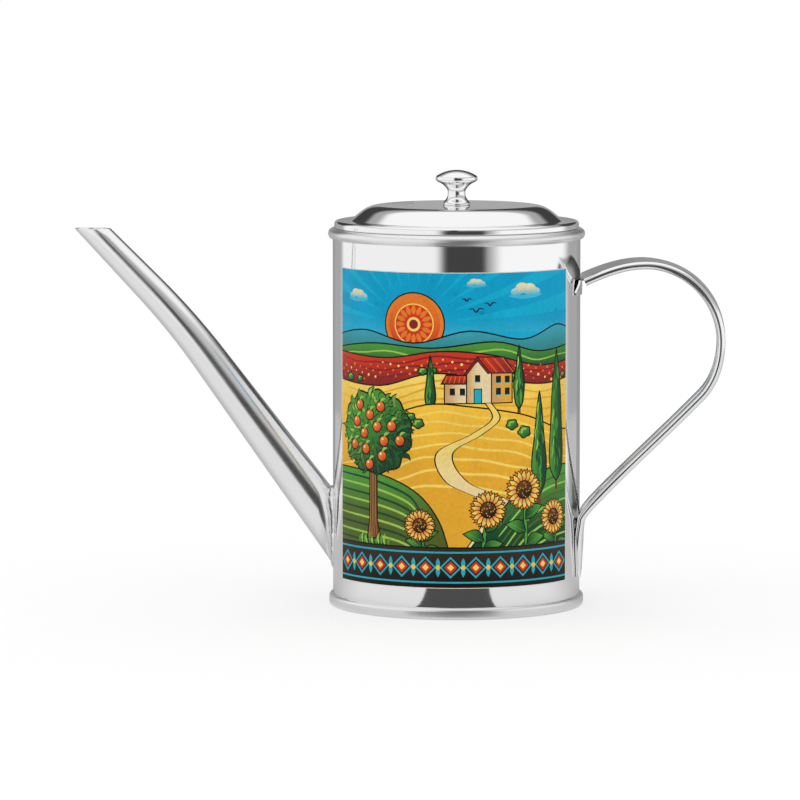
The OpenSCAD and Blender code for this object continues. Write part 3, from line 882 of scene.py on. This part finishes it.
def orange_tree(art, u, foot, crown_v, size):
    trunk = [(u - 2.6, foot), (u - 1.5, foot + 6), (u - 1.4, crown_v - size * 0.5), (u - 4.2, crown_v),
             (u + 4.2, crown_v), (u + 1.5, crown_v - size * 0.5), (u + 1.7, foot + 6), (u + 3.2, foot)]
    art.outlined(trunk, fade(ink(160, 104, 58), BARK, (u - 2, 0), (u + 2, 0)), 0.5)
    for k in range(7):
        x = -1.6 + 0.5 * k
        art.add(stroke(curve([(u + x, foot + 1), (u + x * 0.7, foot + 8), (u + x * 0.6, crown_v - size * 0.6)]),
                       0.3), LINE if k % 2 else ink(188, 128, 74))
    lobes = []
    for k in range(22):
        a = 2 * math.pi * k / 22
        r = size * (1 + 0.07 * (k % 2) + art.between(-0.03, 0.05))
        lobes.append((u + r * math.cos(a), crown_v + 0.94 * r * math.sin(a)))
    art.outlined(curve(lobes, 4, True), fade(LEAF_DEEP, LEAF, (u + size, crown_v - size),
                                             (u - size * 0.6, crown_v + size)), 0.6)
    for k in range(150):
        r = size * math.sqrt((k + 0.5) / 150) * 0.98
        a = k * 2.39996
        x, y = r * math.cos(a), 0.92 * r * math.sin(a)
        lit = smoothstep(0.5 + (y - x) / size * 0.55)
        long = art.between(2.3, 3.6)
        turn = a + art.between(-0.7, 0.7)
        shade = [p + (q - p) * lit for p, q in zip(LEAF_DEEP, LEAF_PALE if k % 3 == 0 else LEAF)]
        art.add(leaf(u + x, crown_v + y, long * 1.12, long * 0.5, turn), LINE)
        art.add(leaf(u + x + 0.1, crown_v + y, long, long * 0.36, turn), tuple(shade))
    for k in range(13):
        r, a = size * 0.86 * math.sqrt((k + 0.6) / 13), k * 2.39996 + 0.9
        x, y = u + r * math.cos(a), crown_v + 0.92 * r * math.sin(a)
        art.outlined(disc(x, y, 1.75), fade(RED, ORANGE, (x + 1.4, y - 1.6), (x - 0.4, y + 0.9)), 0.4)
        art.add(disc(x - 0.55, y + 0.6, 0.42), CREAM)
        art.add(leaf(x, y + 1.5, 2.4, 0.9, 0.5), LEAF_PALE)


def house(art, u, v):
    """A farmhouse with a side wing."""
    def box(u0, v0, u1, v1):
        return [(u + u0, v + v0), (u + u1, v + v0), (u + u1, v + v1), (u + u0, v + v1)]
    art.outlined(box(-10, -1, -2, 5.4), fade(STONE, CREAM, (u - 10, 0), (u - 3, 0)), 0.4)
    art.outlined([(u - 11, v + 5.2), (u - 2, v + 5.2), (u - 3, v + 8), (u - 9.5, v + 8)],
                 fade(RED_DEEP, RED, (u, v + 5), (u, v + 8)), 0.4)
    art.outlined([(u - 3, v - 1), (u + 5, v - 1), (u + 5, v + 9), (u + 1, v + 13), (u - 3, v + 9)],
                 fade(STONE, CREAM, (u - 4, 0), (u + 2, 0)), 0.4)
    art.outlined(box(5, -1, 12, 9), fade(GOLD_DEEP, STONE, (u + 12, 0), (u + 5, 0)), 0.4)
    roof = [(u + 0.4, v + 13.8), (u + 9.2, v + 13.6), (u + 13, v + 8.4), (u + 4.6, v + 8.6)]
    art.outlined(roof, fade(RED_DEEP, RED, (u + 12, v + 8), (u + 3, v + 14)), 0.4)
    art.outlined([(u - 3.8, v + 8.2), (u + 0.4, v + 13.8), (u + 4.6, v + 8.6), (u + 3.8, v + 8.4),
                  (u + 0.4, v + 12.6), (u - 2.9, v + 8.2)], RED_DEEP, 0.25)
    for k in range(6):
        x = 1.5 + 1.4 * k
        art.add(stroke([(u + x, v + 13.4), (u + x + 3.9, v + 8.8)], 0.28, 0.8, 0.8), ORANGE if k % 2 else RED_DEEP)
    for k in range(5):
        art.add(stroke([(u - 9.2 + 1.4 * k, v + 7.7), (u - 10 + 1.5 * k, v + 5.5)], 0.26, 0.8, 0.8), ORANGE)
    art.outlined(box(-0.6, -1, 1.8, 3.6), TURQUOISE, 0.3)
    for x, y in ((-0.2, 6), (6.6, 5.6), (9.6, 5.6), (6.6, 1.8), (9.6, 1.8), (-8.2, 1.8), (-5, 1.8)):
        art.outlined(box(x, y, x + 1.4, y + 1.9), NIGHT, 0.25)
        art.add(stroke([(u + x - 0.2, v + y - 0.2), (u + x + 1.6, v + y - 0.2)], 0.3, 0.9, 0.9), TURQUOISE)


def sunflower(art, u, foot, v, radius, lean):
    stem = curve([(u - lean, foot), (u - lean * 0.6, (foot + v) / 2), (u, v)], 6)
    art.add(stroke(stem, 1.5, 0.9, 0.7), LINE)
    art.add(stroke(stem, 0.95, 0.9, 0.7), LEAF)
    for k, (side, share) in enumerate(((1, 0.28), (-1, 0.42), (1, 0.6))):
        at = stem[int(share * (len(stem) - 1))]
        turn = (0.35 if side > 0 else math.pi - 0.45) + 0.1 * k
        art.outlined(leaf(at[0], at[1], radius * 1.15, radius * 0.62, turn, 0.12 * side),
                     fade(LEAF_DEEP, LEAF, at, (at[0] + side * radius, at[1] + 1)), 0.35)
        art.add(stroke([at, (at[0] + side * radius * 0.9, at[1] + radius * 0.45)], 0.3), LEAF_PALE)
    for ring, (count, reach, paint) in enumerate(((18, 1.0, ORANGE), (18, 0.9, GOLD_PALE))):
        for k in range(count):
            turn = 2 * math.pi * (k + 0.5 * ring) / count
            x, y = u + 0.36 * radius * math.cos(turn), v + 0.36 * radius * math.sin(turn)
            art.outlined(leaf(x, y, radius * 0.64 * reach, radius * 0.28, turn, 0.05),
                         fade(ORANGE, paint, (x, y), (x + 3 * math.cos(turn), y + 3 * math.sin(turn))), 0.28)
    art.outlined(disc(u, v, 0.42 * radius), fade(NIGHT, BARK, (u + 1, v - 2), (u - 1, v + 2)), 0.35)
    for k in range(26):
        r, a = 0.37 * radius * math.sqrt((k + 0.5) / 26), k * 2.39996
        art.add(disc(u + r * math.cos(a), v + r * math.sin(a), 0.2), GOLD_DEEP if k % 2 else NIGHT)


def base_band(art, height):
    art.add([(LEFT - 1, -1), (RIGHT + 1, -1), (RIGHT + 1, height), (LEFT - 1, height)],
            fade(ink(30, 26, 22), ink(58, 48, 38), (0, 0), (0, height)))
    for v in (height - 1.5, 1.9):
        art.add([(LEFT - 1, v - 0.28), (RIGHT + 1, v - 0.28), (RIGHT + 1, v + 0.28), (LEFT - 1, v + 0.28)],
                TURQUOISE)
    middle, count = (height + 0.4) / 2, 11
    for k in range(count):
        u = LEFT + LABEL_W * (k + 0.5) / count
        for size, paint in ((3.5, TURQUOISE), (2.75, NIGHT), (2.1, RED), (1.1, GOLD_PALE)):
            art.add([(u - size, middle), (u, middle - size), (u + size, middle), (u, middle + size)], paint)
    for k in range(1, count):
        u = LEFT + LABEL_W * k / count
        for side in (-1, 1):
            art.add(leaf(u, middle, 3.1, 1.4, side * math.pi / 2, 0), TURQUOISE)
        art.add(disc(u, middle, 0.8), GOLD)
    art.add(stroke([(LEFT - 1, height), (RIGHT + 1, height)], 0.5, 1, 1), LINE)


def border(art, width, paint):
    for v in (width / 2, LABEL_H - width / 2):
        art.add(stroke([(LEFT - 1, v), (RIGHT + 1, v)], width, 1, 1), paint)
    for u in (LEFT + width / 2, RIGHT - width / 2):
        art.add(stroke([(u, -1), (u, LABEL_H + 1)], width, 1, 1), paint)


def landscape():
    art = Artwork()
    art.add([(LEFT - 1, -1), (RIGHT + 1, -1), (RIGHT + 1, LABEL_H + 1), (LEFT - 1, LABEL_H + 1)],
            fade(SKY_PALE, SKY, (0, 74), (0, 88)))
    sun(art, -12, 84, 10)
    cloud(art, 25, 94, 2.4)
    cloud(art, -34, 92, 1.9)
    cloud(art, 8, 97, 1.3)
    for u, v, size in ((8, 88, 1.5), (12.5, 90, 1.2), (5, 91.5, 1.0)):
        art.add(stroke(curve([(u - 1.6 * size, v + 0.5 * size), (u - 0.7 * size, v + 0.7 * size), (u, v),
                              (u + 0.8 * size, v + 0.8 * size), (u + 1.7 * size, v + 0.5 * size)]), 0.5), NIGHT)
    hill(art, [(LEFT - 2, 79), (-30, 81.5), (-12, 78), (6, 82), (24, 79), (38, 83), (RIGHT + 2, 81)],
         fade(TEAL, SKY_PALE, (0, 70), (0, 92)))
    hill(art, [(LEFT - 2, 75), (-26, 77.5), (-6, 76.5), (14, 78.5), (30, 75), (RIGHT + 2, 76.5)],
         fade(LEAF_DEEP, LEAF, (0, 68), (0, 79)), rows=2, row_ink=LEAF_PALE)
    hill(art, [(LEFT - 2, 74), (-22, 73), (-4, 75.5), (12, 74.5), (30, 70.5), (RIGHT + 2, 71.5)],
         fade(RED_DEEP, RED, (0, 64), (0, 74)), rows=4, spacing=1.7, row_ink=RED_DEEP)
    for k in range(90):
        u = LEFT + LABEL_W * (k + 0.5) / 90
        v = 66.5 + 5.2 * (k * 0.618 % 1) + 1.5 * math.cos(u / 14)
        art.add(disc(u, v, art.between(0.25, 0.5)), ORANGE if k % 3 else GOLD_PALE)
    hill(art, [(LEFT - 2, 65), (-24, 64), (-6, 68.5), (14, 66.5), (32, 64.5), (RIGHT + 2, 66)],
         fade(GOLD, GOLD_PALE, (0, 54), (0, 68)), rows=4, spacing=2.2)
    for u, v, size in ((-38, 66, 1.6), (-33, 65.8, 1.3), (-9, 69.2, 1.5), (-5.6, 69.4, 1.2),
                       (20, 67, 1.7), (38, 66.6, 1.5), (42, 66.8, 1.2)):
        bush(art, u, v, size)
    house(art, 8, 60)
    for u, foot, height, width in ((-6.5, 57, 17, 3.4), (22.5, 57, 20, 4.0)):
        cypress(art, u, foot, height, width)
    hill(art, [(LEFT - 2, 50), (-26, 53), (-8, 58.5), (6, 58), (24, 55), (38, 50), (RIGHT + 2, 49)],
         fade(GOLD_DEEP, GOLD, (0, 36), (0, 58)), rows=7, spacing=2.6, row_ink=GOLD_PALE)
    road = curve([(12, 59), (14.5, 54), (8, 49), (-2, 43), (2, 34), (16, 26), (10, 12)], 8)
    width = [1.6 + 9 * (i / (len(road) - 1)) ** 1.5 for i in range(len(road))]
    for extra, paint in ((0.9, LINE), (0, fade(CREAM, GOLD_PALE, (0, 20), (0, 56)))):
        left = [(u - w / 2 - extra / 2, v) for (u, v), w in zip(road, width)]
        right = [(u + w / 2 + extra / 2, v) for (u, v), w in zip(road, width)]
        art.add(left + right[::-1], paint)
    for u, v, size in ((-13, 54.5, 1.6), (-10.5, 52.5, 1.9), (20, 52, 2.0), (24.5, 49.5, 2.3)):
        bush(art, u, v, size)
    hill(art, [(LEFT - 2, 37), (-26, 36), (-12, 31), (-4, 22), (0, 10)],
         fade(OLD_GREEN, LEAF, (0, 20), (0, 38)), rows=0)
    for k in range(9):
        top = 35 - 2.5 * k
        line = curve([(LEFT - 2, top), (-28, top - 1.2), (-14, top - 5.5 + 0.2 * k), (-9 + 0.4 * k, top - 12)], 7)
        art.add(stroke(line, 0.75, 0.4, 0.3), LEAF_PALE if k % 2 else LEAF_DEEP)
    hill(art, [(4, 10), (14, 22), (24, 32), (34, 37), (RIGHT + 2, 38)],
         fade(LEAF_DEEP, LEAF, (0, 16), (0, 38)), rows=0)
    for k in range(8):
        top = 35 - 2.7 * k
        line = curve([(RIGHT + 2, top), (34, top - 1.6), (24, top - 7), (15 + 0.4 * k, top - 16)], 7)
        art.add(stroke(line, 0.75, 0.4, 0.3), LEAF_PALE if k % 2 else OLD_GREEN)
    for u, foot, height, width in ((38.5, 33, 42, 7.5), (30.5, 29, 33, 6.2)):
        cypress(art, u, foot, height, width)
    orange_tree(art, -27, 15, 49, 13.5)
    for k in range(11):
        u = -33 + 1.2 * k
        art.add(leaf(u, 13, art.between(2.4, 4.2), 0.8, art.between(1.2, 1.9)), LEAF_PALE if k % 2 else LEAF)
    sunflower(art, 12, 8, 25, 6.2, 2.0)
    sunflower(art, 37, 8, 21.5, 6.0, -1.5)
    sunflower(art, 24.5, 8, 31, 6.8, -1.0)
    sunflower(art, -10, 8, 20, 5.4, -1.5)
    base_band(art, 13)
    border(art, 0.22, ink(236, 228, 206))
    return art


def triangles(art, grid=2.0):
    """Cuts the artwork into triangles. Returns points, triangles and each triangle's paint."""
    sheet = dense([(LEFT, 0), (RIGHT, 0), (RIGHT, LABEL_H), (LEFT, LABEL_H)], grid)
    points, faces = list(sheet), [list(range(len(sheet)))]
    for outline, paint in art.shapes:
        shape = dense(outline, grid)
        faces.append(list(range(len(points), len(points) + len(shape))))
        points += shape
    columns, rows = int(LABEL_W / grid), int(LABEL_H / grid)
    for i in range(1, columns):
        for k in range(1, rows):
            points.append((LEFT + LABEL_W * i / columns, LABEL_H * (k + 0.37 * (i % 2)) / rows))
    out = delaunay_2d_cdt([Vector(p) for p in points], [], faces, 0, 1e-5, True)
    corners, cells, owners = out[0], out[2], out[5]
    keep, paints = [], []
    for cell, owner in zip(cells, owners):
        if 0 in owner and len(owner) > 1:
            keep.append(cell)
            paints.append(art.shapes[max(owner) - 1][1])
    used = sorted({i for cell in keep for i in cell})
    place = {old: new for new, old in enumerate(used)}
    return [corners[i] for i in used], [[place[i] for i in cell] for cell in keep], paints


def dense(outline, step):
    """The outline with no edge longer than the step."""
    points = []
    for a, b in zip(outline, outline[1:] + outline[:1]):
        cuts = max(1, math.ceil(math.dist(a, b) / step))
        points += [(a[0] + (b[0] - a[0]) * k / cuts, a[1] + (b[1] - a[1]) * k / cuts) for k in range(cuts)]
    return points


def wrapped(u, v, radius):
    """A point of the sheet on a cylinder round the tin."""
    turn = u / BODY_R
    return (radius * math.sin(turn), -radius * math.cos(turn), LABEL_LOW + v)


def add_label(print_material, paper_material):
    corners, cells, paints = triangles(landscape())
    face = mesh_object("label_print", [wrapped(c.x, c.y, LABEL_FACE) for c in corners], cells,
                       print_material)
    colours = []
    for cell, paint in zip(cells, paints):
        for i in cell:
            colours += [*paint(corners[i].x, corners[i].y), 1.0]
    face.data.color_attributes.new("ink", "FLOAT_COLOR", "CORNER").data.foreach_set("color", colours)
    columns = 89
    rim = []
    for i in range(columns):
        u = LEFT + LABEL_W * i / (columns - 1)
        rim.append([wrapped(u, LABEL_H, LABEL_FACE), wrapped(u, LABEL_H, LABEL_BACK),
                    wrapped(u, 0, LABEL_BACK), wrapped(u, 0, LABEL_FACE)])
    faces = grid_faces(columns, 4, around=False)
    last = 4 * (columns - 1)
    faces += [(3, 2, 1, 0), (last, last + 1, last + 2, last + 3)]
    paper = mesh_object("label_paper", [p for column in rim for p in column], faces, paper_material,
                        smooth=False)
    for piece in (face, paper):
        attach(piece, "tin")
    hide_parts("label")


add_camera()
add_studio()
bpy.context.scene.view_settings.view_transform = "Standard"

polished = steel("polished_steel", 0.92, 0.075)
bright = steel("bright_steel", 0.93, 0.06)
drawn = steel("drawn_steel", 0.9, 0.14)
satin = steel("satin_steel", 0.88, 0.34)
dress("body_shell", polished)
for node in ("knob_screw", "knob_washer"):
    dress(node, bright)
for node in ("mouth_ring", "base_pan", "lid_skirt"):
    dress(node, satin)
add_spout(steel("spout_steel", 0.9, 0.19))
add_handle(drawn)
add_lid(polished)
add_knob(bright)
add_solder(satin)
add_label(printed("printed_film"), plain("film_edge", (0.8, 0.78, 0.72), 0.5))
